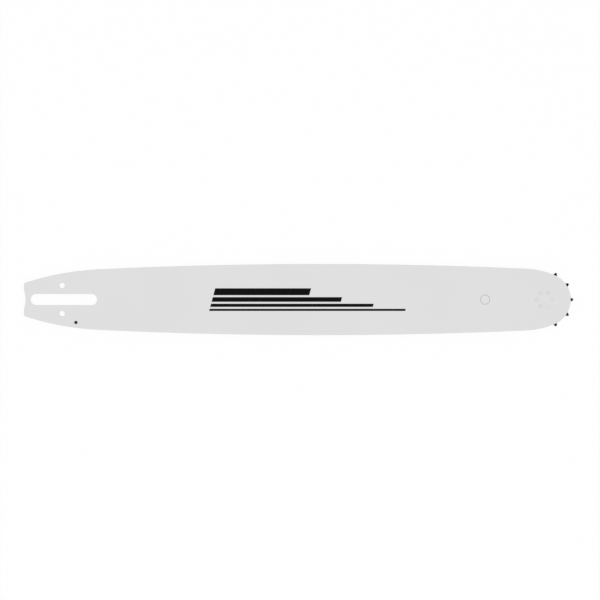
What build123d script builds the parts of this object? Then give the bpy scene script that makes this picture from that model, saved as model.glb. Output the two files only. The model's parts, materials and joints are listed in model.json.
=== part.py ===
from build123d import *
from math import cos, radians, sin
import os

# Chainsaw guide bar: three welded plates with a chain groove round their edge and a toothed wheel in the nose.
# It lies flat, in millimetres. The origin is the middle of the stud slot on the underside, with +X towards
# the nose, +Y across the bar and +Z out of the upper face.

# Outline, seen from above
bar_length = 578.5  # tail end to nose edge, without the teeth
bar_height = 75.2  # across the rails where the bar is tallest
crown_from_tail = 309.0  # where it is tallest
tail_height = 34.8
tail_corner_radius = 2.5
tail_notch_width = 20.0
tail_notch_depth = 1.6
taper_length = 79.0  # from the tail end to where the rails begin
taper_height = 64.0  # across the rails there
nose_radius = 28.2
shoulder_setback = 18.3  # from the wheel's axis back to where the rails start to bend round the nose
shoulder_rise = 4.4  # height of the rails above the nose circle there

# Layers
plate_thickness = 1.55
chain_gauge = 1.6  # thickness of the middle plate, so the width of the groove
groove_depth = 8.0

# Mounting end
slot_from_tail = 42.0
slot_length = 70.6
slot_width = 12.0
tensioner_setback = 1.8  # from the slot's middle towards the tail
tensioner_spacing = 29.8
tensioner_diameter = 6.0
oil_hole_ahead = 12.9  # from the slot's middle towards the nose
oil_hole_diameter = 3.4
oil_hole_floor_gap = 0.6  # from the hole's rim to the groove's floor

# Windows that lighten the middle plate, spread evenly from the slot to the land behind the wheel
window_count = 6
window_length = 50.0
window_height = 34.0
window_corner_crop = 8.0
nose_land = 45.0  # solid length behind the wheel's pocket

# Toothed wheel in the nose
tooth_count = 11
tooth_tip_radius = 30.9
tooth_tip_width = 1.6
tooth_tip_bevel = 0.4
tooth_flank_angle = 25.0  # each flank to the tooth's middle line
gullet_radius = 3.4
wheel_side_clearance = 0.1
wheel_pocket_clearance = 1.6  # from the tooth tips to the middle plate

# Roller bearing that carries the wheel
race_radius = 11.4
roller_count = 16
roller_diameter = 5.2
bearing_clearance = 0.04

# Rivets with straight shanks, closed flush with both faces
rivet_count = 6
rivet_circle_radius = 8.2
rivet_diameter = 3.5
rivet_clearance = 0.02

# Worked out from the sizes above
bar_thickness = 2 * plate_thickness + chain_gauge
tail_x = -slot_from_tail
nose_x = tail_x + bar_length - nose_radius
nose_center = Vector(nose_x, 0)
tail_corner = Vector(tail_x, tail_height / 2)
taper_end = Vector(tail_x + taper_length, taper_height / 2)
crown_top = Vector(tail_x + crown_from_tail, bar_height / 2)
shoulder = Vector(nose_x - shoulder_setback, nose_radius + shoulder_rise)
tensioner_x = -tensioner_setback
pocket_radius = tooth_tip_radius + wheel_pocket_clearance
window_row_end = nose_x - pocket_radius - nose_land
window_pitch = (window_row_end - slot_length / 2) / window_count
window_row_x = window_row_end - (window_count - 1) * window_pitch / 2 - window_length / 2
wheel_thickness = chain_gauge - 2 * wheel_side_clearance
wheel_underside = plate_thickness + wheel_side_clearance
roller_circle_radius = race_radius + bearing_clearance + roller_diameter / 2
wheel_bore_radius = roller_circle_radius + roller_diameter / 2 + bearing_clearance
match_tolerance = 0.001  # for finding a corner by its place


def draw_rail(inset):
    """Draw the upper rail's crown and tail taper, a given depth below the bar's edge."""
    down = Vector(0, -inset)
    crown = ThreePointArc(taper_end + down, crown_top + down, shoulder + down)
    taper = TangentArc(crown @ 0, tail_corner + down, tangent=(crown % 0) * -1)
    return crown, taper


def on_tail_corner(vertex):
    """Whether a vertex of the outline is one of the two corners at the tail."""
    return abs(abs(vertex.Y) - tail_corner.Y) + abs(vertex.X - tail_corner.X) < match_tolerance


def on_tooth_tip(vertex):
    """Whether a vertex of the wheel's profile is a corner of a tooth's tip."""
    return abs(Vector(vertex).length - tooth_tip_radius) < match_tolerance


def smooth_touch(start, heading, center, radius):
    """Where an arc that leaves start along heading runs smoothly into a circle on its right."""
    inward = heading.rotate(Axis.Z, -90)
    reach = center - start
    arc_radius = (reach.dot(reach) - radius**2) / (2 * (reach.dot(inward) - radius))
    arc_center = start + inward * arc_radius
    return center + (center - arc_center).normalized() * radius


# Bar outline, drawn as its upper half and mirrored
with BuildSketch() as outline:
    with BuildLine():
        crown, taper = draw_rail(0)
        nose_touch = smooth_touch(crown @ 1, crown % 1, nose_center, nose_radius)
        TangentArc(crown @ 1, nose_touch, tangent=crown % 1)
        TangentArc(nose_center + Vector(nose_radius, 0), nose_touch, tangent=(0, 1))
        notch_edge = Vector(tail_x, tail_notch_width / 2)
        Line(tail_corner, notch_edge)
        TangentArc((tail_x + tail_notch_depth, 0), notch_edge, tangent=(0, 1))
        mirror(about=Plane.XZ)
    make_face()
    fillet(outline.vertices().filter_by(on_tail_corner), tail_corner_radius)

# Place of the oil hole, which opens into the groove just outside its floor
oil_hole_radius = oil_hole_diameter / 2
oil_hole_inset = groove_depth - oil_hole_floor_gap - oil_hole_radius
taper_run = oil_hole_ahead - taper.arc_center.X
oil_hole_y = taper.arc_center.Y + (taper.radius**2 - taper_run**2) ** 0.5 - oil_hole_inset

# Holes through all three plates
with BuildSketch() as through_holes:
    SlotOverall(slot_length, slot_width)
    with Locations((tensioner_x, tensioner_spacing / 2), (tensioner_x, -tensioner_spacing / 2)):
        Circle(tensioner_diameter / 2)

# Holes that the nose rivets pass through
with BuildSketch() as rivet_holes:
    with Locations(nose_center):
        with PolarLocations(rivet_circle_radius, rivet_count):
            Circle(rivet_diameter / 2 + rivet_clearance)

# Upper side plate
with BuildPart() as side_plate_front:
    with BuildSketch(Plane.XY.offset(bar_thickness - plate_thickness)):
        add(outline.sketch)
    extrude(amount=plate_thickness)
    with BuildSketch(Plane.XY.offset(bar_thickness - plate_thickness)):
        add(through_holes.sketch)
        add(rivet_holes.sketch)
        with Locations((oil_hole_ahead, -oil_hole_y)):
            Circle(oil_hole_radius)
    extrude(amount=plate_thickness, mode=Mode.SUBTRACT)
side_plate_front.part.label = "side_plate_front"

# Lower side plate, the same plate turned over about the bar's long middle line
turning_axis = Axis((0, 0, bar_thickness / 2), (1, 0, 0))
with BuildPart() as side_plate_back:
    add(side_plate_front.part.rotate(turning_axis, 180))
side_plate_back.part.label = "side_plate_back"

# Windows in the middle plate
with BuildSketch() as windows:
    with Locations((window_row_x, 0)):
        with GridLocations(window_pitch, 0, window_count, 1):
            Rectangle(window_length, window_height)
    chamfer(windows.vertices(), window_corner_crop)

# Middle plate: its top and bottom edges are the groove's floor
with BuildPart() as middle_plate:
    with BuildSketch(Plane.XY.offset(plate_thickness)):
        with BuildLine():
            floor_crown, floor_taper = draw_rail(groove_depth)
            Line(floor_taper @ 1, (tail_x, 0))
            Line(floor_crown @ 1, (shoulder.X, 0))
            mirror(about=Plane.XZ)
        make_face()
        add(outline.sketch, mode=Mode.INTERSECT)
        add(through_holes.sketch, mode=Mode.SUBTRACT)
        with Locations(nose_center):
            Circle(pocket_radius, mode=Mode.SUBTRACT)
        add(windows.sketch, mode=Mode.SUBTRACT)
    extrude(amount=chain_gauge)
middle_plate.part.label = "middle_plate"

# Gullet between two teeth: a V with a round bottom, drawn along +X from the wheel's axis
half_pitch = 180 / tooth_count
gullet_half_angle = radians(tooth_flank_angle + half_pitch)
flank = radians(tooth_flank_angle)
flank_reach = tooth_tip_radius * sin(flank) + tooth_tip_width / 2 * cos(flank)
gullet_apex = flank_reach / sin(gullet_half_angle)
gullet_side = tooth_tip_radius / cos(gullet_half_angle)
gullet_end = Vector(gullet_apex + gullet_side * cos(gullet_half_angle), gullet_side * sin(gullet_half_angle))
with BuildSketch() as gullet:
    with BuildLine():
        Polyline((gullet_apex, 0), gullet_end, (gullet_end.X, -gullet_end.Y), close=True)
    make_face()
    fillet(gullet.vertices().sort_by(Axis.X)[0], gullet_radius)

# Toothed wheel, one tooth pointing straight along the bar
with BuildSketch() as wheel_profile:
    Circle(tooth_tip_radius)
    with PolarLocations(0, tooth_count, start_angle=half_pitch):
        add(gullet.sketch, mode=Mode.SUBTRACT)
    chamfer(wheel_profile.vertices().filter_by(on_tooth_tip), tooth_tip_bevel)
    Circle(wheel_bore_radius, mode=Mode.SUBTRACT)

with BuildPart() as nose_sprocket:
    with BuildSketch(Plane.XY.offset(wheel_underside)):
        with Locations(nose_center):
            add(wheel_profile.sketch)
    extrude(amount=wheel_thickness)
nose_sprocket.part.label = "nose_sprocket"

# Inner race, riveted between the side plates
with BuildPart() as bearing_race:
    with BuildSketch(Plane.XY.offset(plate_thickness)):
        with Locations(nose_center):
            Circle(race_radius)
        add(rivet_holes.sketch, mode=Mode.SUBTRACT)
    extrude(amount=chain_gauge)
bearing_race.part.label = "bearing_race"

# Rivets that hold the race between the side plates
with BuildPart() as nose_rivets:
    with BuildSketch():
        with Locations(nose_center):
            with PolarLocations(rivet_circle_radius, rivet_count):
                Circle(rivet_diameter / 2)
    extrude(amount=bar_thickness)
nose_rivets.part.label = "nose_rivets"

pieces = [
    side_plate_front.part,
    side_plate_back.part,
    middle_plate.part,
    nose_sprocket.part,
    bearing_race.part,
    nose_rivets.part,
]

# Rollers between the race and the wheel
for number, spot in enumerate(PolarLocations(roller_circle_radius, roller_count), 1):
    with BuildPart() as roller:
        with BuildSketch(Plane.XY.offset(wheel_underside)):
            with Locations(nose_center + spot.position):
                Circle(roller_diameter / 2)
        extrude(amount=wheel_thickness)
    roller.part.label = f"roller_{number:02d}"
    pieces.append(roller.part)

os.makedirs("parts", exist_ok=True)
for piece in pieces:
    export_step(piece, f"parts/{piece.label}.step")
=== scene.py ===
import json
from functools import cached_property
from math import cos, radians, sin, tan, tau

import bmesh
import bpy
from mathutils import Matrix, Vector


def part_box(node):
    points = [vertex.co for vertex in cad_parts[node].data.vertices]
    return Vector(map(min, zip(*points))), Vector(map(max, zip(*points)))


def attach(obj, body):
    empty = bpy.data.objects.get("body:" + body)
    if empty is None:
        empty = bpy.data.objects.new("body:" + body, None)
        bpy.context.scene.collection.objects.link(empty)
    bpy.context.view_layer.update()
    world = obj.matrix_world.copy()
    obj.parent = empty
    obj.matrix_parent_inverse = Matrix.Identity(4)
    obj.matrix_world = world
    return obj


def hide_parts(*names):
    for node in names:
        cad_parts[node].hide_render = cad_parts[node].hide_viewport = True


# Looks of a chainsaw guide bar: lacquered side plates, a bare core, a black toothed wheel in the nose
# and a plain stage. All sizes are in metres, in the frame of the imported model.

bl_info = {
    "name": "Guide Bar Dresser",
    "version": (1, 0, 0),
    "blender": (4, 5, 0),
    "location": "3D View > Sidebar > Guide Bar",
    "description": "Gives a packed chainsaw guide bar its rounded rims, finishes, print and stage",
    "category": "Object",
}

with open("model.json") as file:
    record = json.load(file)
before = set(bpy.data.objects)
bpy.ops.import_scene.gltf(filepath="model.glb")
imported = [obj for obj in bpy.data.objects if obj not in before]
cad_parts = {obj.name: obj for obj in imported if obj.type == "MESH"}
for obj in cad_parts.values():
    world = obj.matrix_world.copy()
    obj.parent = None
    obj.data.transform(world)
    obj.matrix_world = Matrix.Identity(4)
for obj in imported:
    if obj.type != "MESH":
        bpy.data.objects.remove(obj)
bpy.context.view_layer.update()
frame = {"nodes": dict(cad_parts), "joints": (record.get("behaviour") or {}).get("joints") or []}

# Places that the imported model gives
_, front_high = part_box("side_plate_front")
back_low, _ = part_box("side_plate_back")
_, wheel_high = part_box("nose_sprocket")
nose_axis = Vector(frame["joints"][0]["pos_m"])  # the wheel and the rollers turn about it
rollers = [node for node in sorted(frame["nodes"]) if node.startswith("roller")]

# Circle that the rails follow, from the length and rise of their crown
crown_middle = 0.2699
crown_half_span = 0.2265
crown_rise = 0.0053
crown_radius = (crown_half_span**2 + crown_rise**2) / (2 * crown_rise)
crown_center = Vector((crown_middle, front_high.y - crown_radius, 0))

# Rivets round the nose axis
rivet_count = 6
rivet_circle_radius = 0.0082
rivet_radius = 0.00175
rivet_turns = [tau * number / rivet_count for number in range(rivet_count)]
rivet_steps = [Vector((cos(turn), sin(turn), 0)) * rivet_circle_radius for turn in rivet_turns]
rivet_middles = [nose_axis + step for step in rivet_steps]
riveted_reach = rivet_circle_radius + 2 * rivet_radius  # from the nose axis out past the rivets

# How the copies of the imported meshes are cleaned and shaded
weld_distance = 1e-6
height_digits = 7  # heights are rounded to so many decimals, so that flat faces are quite flat
flat_angle = radians(0.1)  # triangles that meet flatter than this are one face
rim_angle = radians(30)  # edges sharper than this get a rounded rim
crease_angle = radians(35)  # edges sharper than this stay crisp
rim_segments = 3
ring_steps = 96

# How patterns are read
noise_low, noise_middle, noise_high = 0.3, 0.5, 0.7  # noise seldom leaves this span
coat_start, coat_whole = 0.45, 0.8  # how far a surface faces out where its coat starts and is whole
line_full, line_end = 0.3, 0.9  # shares of a line's width at which it starts to fade and is gone

# How many layers of ever finer noise a pattern has
smooth_layers = 2
streaky_layers = 3
mottled_layers = 4
scaly_layers = 5

# How noise is drawn out: a small number makes it long along that axis
evenly = (1, 1, 1)
along_bar = (0.03, 1, 1)
round_plate = (0.04, 0.04, 1)
round_bearing = (0.02, 0.02, 1)

# Sockets by which a Mix node blends colours
mix_amount, mix_first, mix_second, mix_result = 0, 6, 7, 2

plain_white = (1, 1, 1, 1)


def length(name, description, default):
    """A size in metres, for the sidebar."""
    return bpy.props.FloatProperty(
        name=name, description=description, default=default, precision=6, subtype="DISTANCE"
    )


def angle(name, description, default):
    """An angle in radians, for the sidebar."""
    return bpy.props.FloatProperty(name=name, description=description, default=default, subtype="ANGLE")


def share(name, description, default):
    """A number from 0 to 1, for the sidebar."""
    return bpy.props.FloatProperty(
        name=name, description=description, default=default, min=0, max=1, subtype="FACTOR"
    )


def colour(name, description, default):
    """A colour as the share of red, green and blue light that it sends back, for the sidebar."""
    return bpy.props.FloatVectorProperty(
        name=name, description=description, default=default, size=3, min=0, max=1, subtype="COLOR"
    )


def position(name, description, default):
    """A point or a step in metres, for the sidebar."""
    return bpy.props.FloatVectorProperty(
        name=name, description=description, default=default, size=3, precision=4, subtype="XYZ"
    )


class RimSettings(bpy.types.PropertyGroup):
    """How wide the rounded rims of the pieces are."""

    plate: length("Plate rim", "Width of the rounded rims of the side plates", 0.0002)
    core: length("Core rim", "Width of the rounded rims of the middle plate", 0.0001)
    rivet: length("Rivet rim", "Width of the rounded rims of the nose rivets", 0.00005)
    tooth: length("Tooth rim", "Width of the rounded rims of the toothed wheel", 0.00015)
    bearing: length("Bearing rim", "Width of the rounded rims of the race and the rollers", 0.00015)


class LacquerSettings(bpy.types.PropertyGroup):
    """Lacquer on the side plates and the rivets' ends, and the steel where it stops."""

    face: colour("Lacquer", "Colour of the lacquer on the flat faces", (0.748, 0.748, 0.748))
    cloud: colour("Lacquer cloud", "Darker colour that drifts over the lacquer", (0.738, 0.738, 0.739))
    # Painted shade: this colour darkens the lacquer where the ring's groove and the seams round the
    # rivets lie in shade, and it also draws the faint line along the rails
    seam: colour("Seam", "Colour of the lacquer in fine lines", (0.38, 0.38, 0.38))
    edge: colour("Bare edge", "Colour of the ground steel on the rims and walls", (0.62, 0.62, 0.63))
    # Partly painted shade: the steel between the plates is dark oxide, made nearly black for the shade
    # in the groove and the oil hole
    inside: colour("Inner face", "Colour of the steel between the plates", (0.022, 0.022, 0.023))
    roughness: share("Roughness", "Roughness of the lacquer", 0.42)
    unevenness: share("Unevenness", "How much the roughness varies", 0.1)
    cloud_size: length("Cloud size", "Size of the clouds on the lacquer", 0.07)
    peel_size: length("Peel size", "Size of the ripples in the lacquer", 0.0016)
    peel_depth: length("Peel depth", "Depth of the ripples in the lacquer", 0.000006)
    raggedness: share("Raggedness", "How raggedly the lacquer ends at a rim", 0.2)
    scratch_size: length("Scratch size", "Width of the grinding scratches on the walls", 0.0004)
    scratch_tone: share("Scratch tone", "How strongly the grinding scratches show", 0.35)
    rail_depth: length("Rail depth", "How far the line along the rails lies from the edge", 0.0039)
    rail_line: length("Rail line", "Width of the line along the rails", 0.0006)
    rail_tone: share("Rail tone", "How strongly the line along the rails shows", 0.05)
    rail_fade: share("Rail fade", "Share of the way to its ends where the line starts to fade", 0.6)
    # Painted shade in patches along the seams round the rivets
    rivet_shade_line: length("Rivet line", "Width of the lines round the rivets", 0.0004)
    rivet_shade_tone: share("Rivet tone", "How strongly the lines round the rivets show", 0.6)
    rivet_shade_patch: length("Rivet patches", "Size of the patches where those lines show", 0.003)


class RingSettings(bpy.types.PropertyGroup):
    """Fine ring in both faces behind the toothed wheel."""

    setback: length("Setback", "From the nose axis back to the ring's middle", 0.0625)
    diameter: length("Diameter", "Across the ring's line", 0.0098)
    width: length("Width", "Width of the V-shaped line", 0.0004)
    depth: length("Depth", "Depth of the V-shaped line", 0.0002)


class PrintSettings(bpy.types.PropertyGroup):
    """Stack of plain stripes printed on the front face."""

    ink: colour("Ink", "Colour of the print", (0.005, 0.005, 0.005))
    start: length("Start", "Where the stripes start, from the middle of the stud slot", 0.157)
    count: bpy.props.IntProperty(
        name="Stripes", description="Number of stripes", default=4, min=1, max=8
    )
    first_length: length("First length", "Length of the top stripe", 0.1016)
    growth: length("Growth", "How much longer each stripe is than the one above", 0.0353)
    first_height: length("First height", "Height of the top stripe", 0.0074)
    thinning: share("Thinning", "Height of a stripe as a share of the one above", 0.68)
    gap: length("Gap", "Height of the bare lines between the stripes", 0.00195)
    slant: angle("Slant", "How far the stripes' ends lean from upright", radians(15))
    soft_edge: length("Soft edge", "Width over which the ink fades out", 0.00005)


class WheelSettings(bpy.types.PropertyGroup):
    """Blackened steel of the toothed wheel."""

    black: colour("Blackening", "Colour of the blackened steel", (0.004, 0.004, 0.0042))
    worn: colour("Worn steel", "Colour where the blackening is rubbed", (0.02, 0.02, 0.021))
    roughness: share("Roughness", "Roughness of the blackened steel", 0.48)
    unevenness: share("Unevenness", "How much the roughness varies", 0.2)
    polish: share("Polish", "How much smoother the rubbed tips are", 0.15)
    tip_reach: length("Rubbed tips", "How far down from the tips the teeth are rubbed", 0.0014)
    tip_tone: share("Rubbed tone", "How strongly the rubbed tips show", 0.5)
    mottle_size: length("Mottle size", "Size of the patches in the blackening", 0.0022)
    mottle_tone: share("Mottle tone", "How strongly the patches in the blackening show", 0.12)
    grain_size: length("Grain size", "Size of the blasted grain", 0.0003)
    grain_depth: length("Grain depth", "Depth of the blasted grain", 0.000008)


class SteelSettings(bpy.types.PropertyGroup):
    """Bare steel of the inner pieces."""

    rolled: colour("Rolled steel", "Colour of the middle plate", (0.36, 0.36, 0.37))
    scale: colour("Rolling scale", "Darker colour in patches on the middle plate", (0.22, 0.22, 0.225))
    rolled_roughness: share("Rolled roughness", "Roughness of the middle plate", 0.4)
    scale_size: length("Scale size", "Size of the patches of rolling scale", 0.018)
    scale_tone: share("Scale tone", "How strongly the rolling scale shows", 0.7)
    roll_line: length("Roll line", "Width of the lines from rolling", 0.0005)
    roll_tone: share("Roll tone", "How strongly the lines from rolling show", 0.3)
    roll_depth: length("Roll depth", "Depth of the lines from rolling", 0.000008)
    ground: colour("Ground steel", "Colour of the race and the rollers", (0.52, 0.52, 0.53))
    ground_roughness: share("Ground roughness", "Roughness of the race and the rollers", 0.24)
    ground_line: length("Ground line", "Width of the lines from grinding", 0.00012)
    ground_depth: length("Ground depth", "Depth of the lines from grinding", 0.000003)
    oil_size: length("Oil size", "Size of the patches of oil film", 0.003)
    oil_tone: share("Oil tone", "How strongly the lines from grinding and the oil film show", 0.3)
    unevenness: share("Unevenness", "How much the roughness varies", 0.14)


class StageSettings(bpy.types.PropertyGroup):
    """Floor, light and camera."""

    target: position("Target", "Point in the middle of the picture", (0.25, -0.0004, front_high.z))
    view_width: length("View width", "Width of the picture at the target", 0.6348)
    distance: length("Distance", "From the camera to the target", 7.0)
    tilt: angle("Tilt", "How far the camera leans from straight above the bar", radians(1))
    floor: colour("Floor", "Colour of the floor", (0.97, 0.97, 0.97))
    floor_roughness: share("Floor roughness", "Roughness of the floor", 0.9)
    floor_white: share("Floor white", "How much of the floor is seen as plain white", 0.94)
    floor_reach: length("Floor reach", "From the middle of the floor to its sides", 10.0)
    floor_gap: length("Floor gap", "From the floor up to the bar", 0.0002)
    sky_light: share("Sky light", "Light that the surroundings give", 0.78)
    lamp_power: bpy.props.FloatProperty(
        name="Lamp power", description="Power of the soft lamp above", default=12.4, min=0, unit="POWER"
    )
    lamp_size: length("Lamp size", "Side of the soft lamp above", 2.0)
    lamp_step: position("Lamp step", "From the target to the soft lamp", (0.0, -0.5, 2.3))


class GuideBarSettings(bpy.types.PropertyGroup):
    """Everything that can be set on the guide bar."""

    rims: bpy.props.PointerProperty(type=RimSettings)
    lacquer: bpy.props.PointerProperty(type=LacquerSettings)
    ring: bpy.props.PointerProperty(type=RingSettings)
    stripes: bpy.props.PointerProperty(type=PrintSettings)
    wheel: bpy.props.PointerProperty(type=WheelSettings)
    steel: bpy.props.PointerProperty(type=SteelSettings)
    stage: bpy.props.PointerProperty(type=StageSettings)


class Wire:
    """A number that flows through nodes. Sums written with it add the Math nodes that work them out."""

    def __init__(self, bench, socket):
        self.bench = bench
        self.socket = socket

    def math(self, operation, *terms):
        """Add the Math node that works out an operation on terms."""
        return self.bench.node("ShaderNodeMath", {"operation": operation}, dict(enumerate(terms)))

    def __add__(self, other):
        return self.math("ADD", self, other)

    def __radd__(self, other):
        return self.math("ADD", other, self)

    def __sub__(self, other):
        return self.math("SUBTRACT", self, other)

    def __rsub__(self, other):
        return self.math("SUBTRACT", other, self)

    def __mul__(self, other):
        return self.math("MULTIPLY", self, other)

    def __rmul__(self, other):
        return self.math("MULTIPLY", other, self)

    def __abs__(self):
        return self.math("ABSOLUTE", self)

    def least(self, *others):
        """The smallest of this number and others."""
        smallest = self
        for other in others:
            smallest = self.math("MINIMUM", smallest, other)
        return smallest

    def most(self, *others):
        """The largest of this number and others."""
        largest = self
        for other in others:
            largest = self.math("MAXIMUM", largest, other)
        return largest

    def rise(self, low, high):
        """0 on low's side, 1 on high's side, and smooth between them. Low may be the larger."""
        return self.bench.node(
            "ShaderNodeMapRange", {"interpolation_type": "SMOOTHSTEP"},
            {"Value": self, "From Min": low, "From Max": high},
        )

    def line(self, width):
        """1 along the line where this number is 0, fading out to its sides."""
        return abs(self).rise(width * line_end, width * line_full)

    def patches(self):
        """Noise spread to reach from 0 to 1."""
        return self.rise(noise_low, noise_high)

    def swing(self):
        """Noise moved to swing about 0."""
        return self - noise_middle


class Bench:
    """Node tree of a material or a world, with the ways of adding to it."""

    def __init__(self, tree):
        self.tree = tree

    def connect(self, socket, value):
        """Link a wire to a socket, or set a plain value on it."""
        if isinstance(value, Wire):
            self.tree.links.new(value.socket, socket)
        else:
            socket.default_value = value

    def node(self, kind, settings=None, inputs=None, output=0):
        """Add a node, set it up, feed its sockets, and give one of its outputs."""
        added = self.tree.nodes.new(kind)
        for name, value in (settings or {}).items():
            setattr(added, name, value)
        for name, value in (inputs or {}).items():
            self.connect(added.inputs[name], value)
        return Wire(self, added.outputs[output])

    def seen_ray(self):
        """1 on rays that show what they meet, straight, mirrored or through glass, and 0 on others."""
        kinds = ("Is Camera Ray", "Is Glossy Ray", "Is Transmission Ray")
        straight, *bounced = [self.node("ShaderNodeLightPath", output=kind) for kind in kinds]
        return straight.most(*bounced)


class Finish(Bench):
    """A material with one main shader and patterns that keep to the piece."""

    def __init__(self, name, **sockets):
        self.material = bpy.data.materials.new(name)
        self.material.use_nodes = True
        super().__init__(self.material.node_tree)
        self.set(**sockets)

    @cached_property
    def place(self):
        """Where on the piece a point lies, in metres."""
        return self.node("ShaderNodeTexCoord", output="Object")

    @cached_property
    def x(self):
        """How far along the bar a point lies, from the middle of the stud slot."""
        return self.node("ShaderNodeSeparateXYZ", inputs={"Vector": self.place}, output="X")

    @cached_property
    def y(self):
        """How far across the bar a point lies, from its middle line."""
        return self.node("ShaderNodeSeparateXYZ", inputs={"Vector": self.place}, output="Y")

    def set(self, **sockets):
        """Feed the main shader's sockets, named with underscores for spaces."""
        shader = self.tree.nodes["Principled BSDF"]
        for name, value in sockets.items():
            self.connect(shader.inputs[name.replace("_", " ")], value)

    def facing_up(self):
        """How far the surface faces up: 1 where it looks up, 0 on a wall, -1 where it looks down."""
        normal = self.node("ShaderNodeTexCoord", output="Normal")
        return self.node("ShaderNodeSeparateXYZ", inputs={"Vector": normal}, output="Z")

    def distance(self, point, mirrored=False):
        """Distance in plan to a point, or to it and its mirror image across the bar's middle line."""
        plan = {"X": self.x, "Y": abs(self.y) if mirrored else self.y}
        ends = {0: self.node("ShaderNodeCombineXYZ", inputs=plan), 1: (point[0], point[1], 0)}
        return self.node("ShaderNodeVectorMath", {"operation": "DISTANCE"}, ends, output="Value")

    def noise(self, size, layers=smooth_layers, drawn=evenly):
        """Soft noise about its middle value, with blobs of a size in metres."""
        drawn_place = self.node("ShaderNodeMapping", inputs={"Vector": self.place, "Scale": drawn})
        inputs = {"Vector": drawn_place, "Scale": 1 / size, "Detail": layers}
        return self.node("ShaderNodeTexNoise", inputs=inputs, output="Fac")

    def blend(self, amount, first, second):
        """A colour that goes from first to second."""
        inputs = {mix_amount: amount, mix_first: opaque(first), mix_second: opaque(second)}
        return self.node("ShaderNodeMix", {"data_type": "RGBA"}, inputs, output=mix_result)

    def bumps(self, height, depth):
        """Surface normals of a relief of a depth in metres."""
        inputs = {"Height": height, "Distance": depth, "Strength": 1.0}
        return self.node("ShaderNodeBump", inputs=inputs)


def opaque(value):
    """A colour setting with full alpha, or the wire that already is a colour."""
    if isinstance(value, Wire):
        return value
    return (*value, 1)


def new_piece(name, shape):
    """An object with the mesh of a bmesh, which is used up."""
    mesh = bpy.data.meshes.new(name)
    shape.to_mesh(mesh)
    shape.free()
    piece = bpy.data.objects.new(name, mesh)
    bpy.context.scene.collection.objects.link(piece)
    return piece


def shade(piece, material):
    """Give a piece its material, with smooth rims, flat faces and crisp creases."""
    mesh = piece.data
    mesh.materials.clear()
    mesh.materials.append(material)
    mesh.polygons.foreach_set("use_smooth", [True] * len(mesh.polygons))
    mesh.set_sharp_from_angle(angle=crease_angle)
    evener = piece.modifiers.new("Even shading", "WEIGHTED_NORMAL")
    evener.keep_sharp = True


def rounded_copy(node, body, rim_width, sharp_reach=0):
    """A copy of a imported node, with rounded rims beyond sharp_reach from the nose axis."""
    shape = bmesh.new()
    shape.from_mesh(frame["nodes"][node].data)
    bmesh.ops.remove_doubles(shape, verts=shape.verts, dist=weld_distance)
    bmesh.ops.dissolve_limit(shape, angle_limit=flat_angle, verts=shape.verts, edges=shape.edges)
    rims = [
        edge for edge in shape.edges
        if edge.calc_face_angle(0) > rim_angle
        and (edge.verts[0].co - nose_axis).xy.length > sharp_reach
    ]
    bmesh.ops.bevel(
        shape, geom=rims, offset=rim_width, affect="EDGES",
        segments=rim_segments, profile=0.5, material=-1,
    )
    for vert in shape.verts:
        vert.co.z = round(vert.co.z, height_digits)
    piece = new_piece(f"finished_{node}", shape)
    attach(piece, body)
    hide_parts(node)
    return piece


def cut_ring(piece, face_height, side, ring):
    """Cut a fine V-shaped ring into a plate's outer face. The cutter reaches as far out as in."""
    middle = Vector((nose_axis.x - ring.setback, 0, face_height))
    line = ring.diameter / 2
    depth = ring.depth * side
    corners = ((line, -depth), (line + ring.width, depth), (line - ring.width, depth))
    shape = bmesh.new()
    section = [shape.verts.new(middle + Vector((across, 0, up))) for across, up in corners]
    sides = [shape.edges.new((section[number - 1], section[number])) for number in range(len(section))]
    bmesh.ops.spin(
        shape, geom=section + sides, cent=middle, axis=(0, 0, 1),
        angle=tau, steps=ring_steps, use_merge=True,
    )
    bmesh.ops.remove_doubles(shape, verts=shape.verts, dist=weld_distance)
    bmesh.ops.recalc_face_normals(shape, faces=shape.faces)
    cutter = new_piece("ring_cutter", shape)
    cut = piece.modifiers.new("Ring", "BOOLEAN")
    cut.operation = "DIFFERENCE"
    cut.solver = "EXACT"
    cut.object = cutter
    finished = piece.evaluated_get(bpy.context.evaluated_depsgraph_get())
    whole = piece.data
    piece.data = bpy.data.meshes.new_from_object(finished)
    piece.modifiers.clear()
    bpy.data.objects.remove(cutter)
    bpy.data.meshes.remove(whole)


def stripe_mask(finish, stripes):
    """1 on the printed stripes and 0 beside them."""
    heights = [stripes.first_height * stripes.thinning**number for number in range(stripes.count)]
    top = (sum(heights) + stripes.gap * (stripes.count - 1)) / 2
    leaning = finish.x - finish.y * tan(stripes.slant)
    bands = []
    for number, height in enumerate(heights):
        end = stripes.start + stripes.first_length + stripes.growth * number
        inside = height / 2 - abs(finish.y - (top - height / 2))
        inside = inside.least(leaning - stripes.start, end - leaning)
        bands.append(inside.rise(0, stripes.soft_edge))
        top -= height + stripes.gap
    return bands[0].most(*bands[1:])


def rail_mask(finish, lacquer):
    """1 on a faint line along both rails, fading out towards tail and nose."""
    depth = crown_radius - finish.distance(crown_center, mirrored=True)
    from_middle = abs(finish.x - crown_middle)
    fading = from_middle.rise(crown_half_span, crown_half_span * lacquer.rail_fade)
    return (depth - lacquer.rail_depth).line(lacquer.rail_line) * fading


def ring_shade_mask(finish, ring):
    """1 in the ring behind the toothed wheel, where the shade in its V-shaped groove is painted into
    the lacquer.
    """
    reach = finish.distance((nose_axis.x - ring.setback, 0))
    return (reach - ring.diameter / 2).line(ring.width)


def rivet_shade_mask(finish, lacquer):
    """1 in patches along the seams round the rivets, where their shade is painted into the lacquer."""
    first, *others = [abs(finish.distance(middle) - rivet_radius) for middle in rivet_middles]
    return first.least(*others).line(lacquer.rivet_shade_line) * finish.noise(lacquer.rivet_shade_patch).patches()


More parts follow.
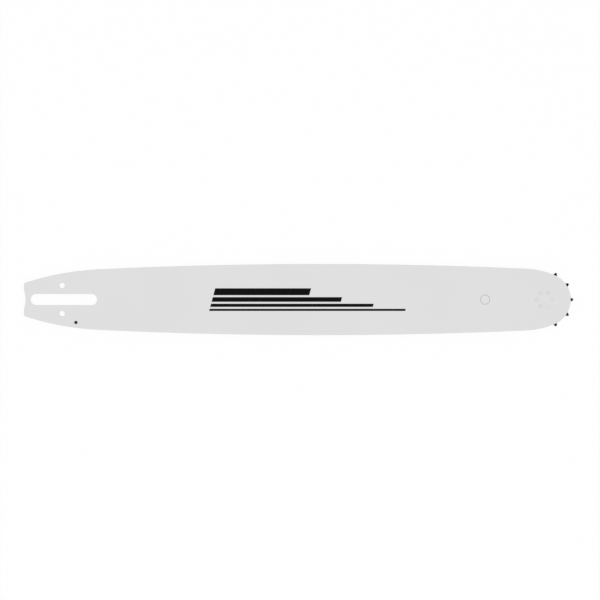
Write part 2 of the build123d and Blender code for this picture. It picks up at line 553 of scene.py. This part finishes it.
def lacquer_coat(finish, lacquer):
    """Colour of the lacquer, with its clouds and a trace of painted shade along the seams round the
    rivets.
    """
    clouds = finish.noise(lacquer.cloud_size).patches()
    coat = finish.blend(clouds, lacquer.face, lacquer.cloud)
    # painted shade along the seams round the rivets
    return finish.blend(rivet_shade_mask(finish, lacquer) * lacquer.rivet_shade_tone, coat, lacquer.seam)


def lacquered_plate(name, side, settings, printed):
    """Satin lacquer on the outer face, printed or plain, with painted shade in the ring and round the
    rivets, bare ground walls, and a dark inner face that is darkened to paint the shade in the groove.
    """
    lacquer = settings.lacquer
    finish = Finish(name)
    facing = finish.facing_up() * side
    peel = finish.noise(lacquer.peel_size)
    on_face = (facing + peel.swing() * lacquer.raggedness).rise(coat_start, coat_whole)
    on_inside = facing.rise(-coat_start, -coat_whole)
    rails = rail_mask(finish, lacquer) * lacquer.rail_tone
    scratches = finish.noise(lacquer.scratch_size, drawn=round_plate).patches()

    coat = lacquer_coat(finish, lacquer)
    # painted shade in the ring's groove, together with the faint line along the rails
    coat = finish.blend(rails.most(ring_shade_mask(finish, settings.ring)), coat, lacquer.seam)
    metal = 1 - on_face
    if printed:
        ink = stripe_mask(finish, settings.stripes) * on_face
        coat = finish.blend(ink, coat, settings.stripes.ink)
        metal = metal + ink  # as a metal the ink mirrors in its own black, so the sky doesn't grey it
    # the inner face's nearly black steel partly paints the shade in the groove
    darker = (scratches * lacquer.scratch_tone).most(on_inside)
    steel = finish.blend(darker, lacquer.edge, lacquer.inside)
    finish.set(
        Base_Color=finish.blend(on_face, steel, coat),
        Metallic=metal,
        Roughness=lacquer.roughness + peel.swing() * lacquer.unevenness,
        Normal=finish.bumps(peel, lacquer.peel_depth),
    )
    return finish.material


def lacquered_rivets(lacquer):
    """The plates' lacquer, with its painted shade round the rivets, on the rivets' ends, over bare
    shanks.
    """
    finish = Finish("lacquered_rivets")
    peel = finish.noise(lacquer.peel_size)
    facing = abs(finish.facing_up())
    on_end = (facing + peel.swing() * lacquer.raggedness).rise(coat_start, coat_whole)
    finish.set(
        Base_Color=finish.blend(on_end, lacquer.edge, lacquer_coat(finish, lacquer)),
        Metallic=1 - on_end,
        Roughness=lacquer.roughness + peel.swing() * lacquer.unevenness,
        Normal=finish.bumps(peel, lacquer.peel_depth),
    )
    return finish.material


def blackened_wheel(wheel):
    """Blackened steel, a little rubbed at the tooth tips."""
    finish = Finish("blackened_wheel", Metallic=1.0)
    mottle = finish.noise(wheel.mottle_size, layers=mottled_layers)
    tip = wheel_high.x - nose_axis.x
    rubbed = finish.distance(nose_axis).rise(tip - wheel.tip_reach, tip) * mottle.patches()
    paler = (rubbed * wheel.tip_tone).most(mottle.patches() * wheel.mottle_tone)
    finish.set(
        Base_Color=finish.blend(paler, wheel.black, wheel.worn),
        Roughness=wheel.roughness + mottle.swing() * wheel.unevenness - rubbed * wheel.polish,
        Normal=finish.bumps(finish.noise(wheel.grain_size), wheel.grain_depth),
    )
    return finish.material


def rolled_core(steel):
    """Bare rolled steel with dark scale in patches and lines along the bar."""
    finish = Finish("rolled_core", Metallic=1.0)
    scale = finish.noise(steel.scale_size, layers=scaly_layers)
    lines = finish.noise(steel.roll_line, layers=streaky_layers, drawn=along_bar)
    darker = (scale.patches() * steel.scale_tone).most(lines.patches() * steel.roll_tone)
    finish.set(
        Base_Color=finish.blend(darker, steel.rolled, steel.scale),
        Roughness=steel.rolled_roughness + (scale.swing() + lines.swing()) * steel.unevenness,
        Normal=finish.bumps(lines, steel.roll_depth),
    )
    return finish.material


def ground_bearing(steel):
    """Ground steel with fine lines round the rolling surfaces and a film of oil in patches."""
    finish = Finish("ground_bearing", Metallic=1.0)
    lines = finish.noise(steel.ground_line, drawn=round_bearing)
    oil = finish.noise(steel.oil_size, layers=streaky_layers)
    darker = lines.patches().most(oil.patches()) * steel.oil_tone
    finish.set(
        Base_Color=finish.blend(darker, steel.ground, steel.scale),
        Roughness=steel.ground_roughness + (lines.swing() + oil.swing()) * steel.unevenness,
        Normal=finish.bumps(lines, steel.ground_depth),
    )
    return finish.material


def pale_floor(stage):
    """Floor that is seen as nearly plain white and keeps a faint shadow."""
    finish = Finish("pale_floor", Base_Color=opaque(stage.floor), Roughness=stage.floor_roughness)
    finish.set(Specular_IOR_Level=0.0)
    matt = Wire(finish, finish.tree.nodes["Principled BSDF"].outputs["BSDF"])
    white = finish.node("ShaderNodeEmission", inputs={"Color": plain_white, "Strength": 1.0})
    seen = finish.seen_ray() * stage.floor_white
    both = finish.node("ShaderNodeMixShader", inputs={0: seen, 1: matt, 2: white})
    finish.connect(finish.tree.nodes["Material Output"].inputs["Surface"], both)
    return finish.material


def white_surroundings(stage):
    """World that is seen as plain white and gives a softer light."""
    world = bpy.data.worlds.new("white_surroundings")
    world.use_nodes = True
    bench = Bench(world.node_tree)
    background = world.node_tree.nodes["Background"]
    bench.connect(background.inputs["Color"], plain_white)
    seen = bench.seen_ray()
    bench.connect(background.inputs["Strength"], stage.sky_light + seen * (1 - stage.sky_light))
    return world


class GUIDEBAR_OT_side_plates(bpy.types.Operator):
    """Round the side plates' rims, cut their ring and lacquer them"""

    bl_idname = "guide_bar.side_plates"
    bl_label = "Finish Side Plates"

    def execute(self, context):
        settings = context.scene.guide_bar
        for node, side, face_height, printed in (
            ("side_plate_front", 1, front_high.z, True),
            ("side_plate_back", -1, back_low.z, False),
        ):
            plate = rounded_copy(node, "bar", settings.rims.plate, riveted_reach)
            cut_ring(plate, face_height, side, settings.ring)
            shade(plate, lacquered_plate(f"lacquer_{node}", side, settings, printed))
        return {"FINISHED"}


class GUIDEBAR_OT_nose_rivets(bpy.types.Operator):
    """Round the nose rivets' rims and lacquer them with the plates"""

    bl_idname = "guide_bar.nose_rivets"
    bl_label = "Finish Nose Rivets"

    def execute(self, context):
        settings = context.scene.guide_bar
        rivets = rounded_copy("nose_rivets", "bar", settings.rims.rivet)
        shade(rivets, lacquered_rivets(settings.lacquer))
        return {"FINISHED"}


class GUIDEBAR_OT_toothed_wheel(bpy.types.Operator):
    """Round the toothed wheel's edges and blacken it"""

    bl_idname = "guide_bar.toothed_wheel"
    bl_label = "Finish Toothed Wheel"

    def execute(self, context):
        settings = context.scene.guide_bar
        wheel = rounded_copy("nose_sprocket", "sprocket", settings.rims.tooth)
        shade(wheel, blackened_wheel(settings.wheel))
        return {"FINISHED"}


class GUIDEBAR_OT_middle_plate(bpy.types.Operator):
    """Round the middle plate's rims and give it rolled steel"""

    bl_idname = "guide_bar.middle_plate"
    bl_label = "Finish Middle Plate"

    def execute(self, context):
        settings = context.scene.guide_bar
        core = rounded_copy("middle_plate", "bar", settings.rims.core)
        shade(core, rolled_core(settings.steel))
        return {"FINISHED"}


class GUIDEBAR_OT_bearing(bpy.types.Operator):
    """Round the edges of the race and the rollers and give them ground steel"""

    bl_idname = "guide_bar.bearing"
    bl_label = "Finish Bearing"

    def execute(self, context):
        settings = context.scene.guide_bar
        ground = ground_bearing(settings.steel)
        bodies = {"bearing_race": "bar"} | {roller: "roller_row" for roller in rollers}
        for node, body in bodies.items():
            shade(rounded_copy(node, body, settings.rims.bearing), ground)
        return {"FINISHED"}


class GUIDEBAR_OT_stage(bpy.types.Operator):
    """Set up the floor, the light and the camera"""

    bl_idname = "guide_bar.stage"
    bl_label = "Set Up Stage"

    def execute(self, context):
        stage = context.scene.guide_bar.stage
        target = Vector(stage.target)
        shape = bmesh.new()
        bmesh.ops.create_grid(shape, x_segments=1, y_segments=1, size=stage.floor_reach)
        bmesh.ops.translate(shape, vec=(target.x, target.y, -stage.floor_gap), verts=shape.verts)
        floor = new_piece("floor", shape)
        floor.data.materials.append(pale_floor(stage))
        context.scene.world = white_surroundings(stage)

        lamp = bpy.data.lights.new("soft_lamp", "AREA")
        lamp.energy = stage.lamp_power
        lamp.size = stage.lamp_size
        hung_lamp = bpy.data.objects.new("soft_lamp", lamp)
        lamp_step = Vector(stage.lamp_step)
        hung_lamp.location = target + lamp_step
        hung_lamp.rotation_euler = (-lamp_step).to_track_quat("-Z", "Y").to_euler()
        context.scene.collection.objects.link(hung_lamp)

        view = bpy.data.cameras.new("camera")
        view.lens = stage.distance * view.sensor_width / stage.view_width
        camera = bpy.data.objects.new("camera", view)
        camera.location = target + stage.distance * Vector((0, sin(stage.tilt), cos(stage.tilt)))
        camera.rotation_euler = (-stage.tilt, 0, 0)
        context.scene.collection.objects.link(camera)
        context.scene.camera = camera
        context.scene.view_settings.view_transform = "Standard"
        return {"FINISHED"}


class GUIDEBAR_PT_sidebar(bpy.types.Panel):
    """Lists the guide bar's settings and the operators that use them"""

    bl_idname = "GUIDEBAR_PT_sidebar"
    bl_label = "Guide Bar"
    bl_space_type = "VIEW_3D"
    bl_region_type = "UI"
    bl_category = "Guide Bar"

    def draw(self, context):
        settings = context.scene.guide_bar
        for group_name in settings.__annotations__:
            group = getattr(settings, group_name)
            box = self.layout.box()
            box.label(text=group_name.capitalize())
            for name in group.__annotations__:
                box.prop(group, name)
        for operator in operators:
            self.layout.operator(operator.bl_idname)


setting_groups = (
    RimSettings,
    LacquerSettings,
    RingSettings,
    PrintSettings,
    WheelSettings,
    SteelSettings,
    StageSettings,
    GuideBarSettings,
)
operators = (
    GUIDEBAR_OT_side_plates,
    GUIDEBAR_OT_middle_plate,
    GUIDEBAR_OT_nose_rivets,
    GUIDEBAR_OT_toothed_wheel,
    GUIDEBAR_OT_bearing,
    GUIDEBAR_OT_stage,
)
classes = (*setting_groups, *operators, GUIDEBAR_PT_sidebar)


def register():
    for listed in classes:
        bpy.utils.register_class(listed)
    bpy.types.Scene.guide_bar = bpy.props.PointerProperty(type=GuideBarSettings)


def unregister():
    del bpy.types.Scene.guide_bar
    for listed in reversed(classes):
        bpy.utils.unregister_class(listed)


def main():
    """Finish every piece and set the stage."""
    register()
    bpy.ops.guide_bar.side_plates()
    bpy.ops.guide_bar.middle_plate()
    bpy.ops.guide_bar.nose_rivets()
    bpy.ops.guide_bar.toothed_wheel()
    bpy.ops.guide_bar.bearing()
    bpy.ops.guide_bar.stage()


if __name__ == "__main__":
    main()
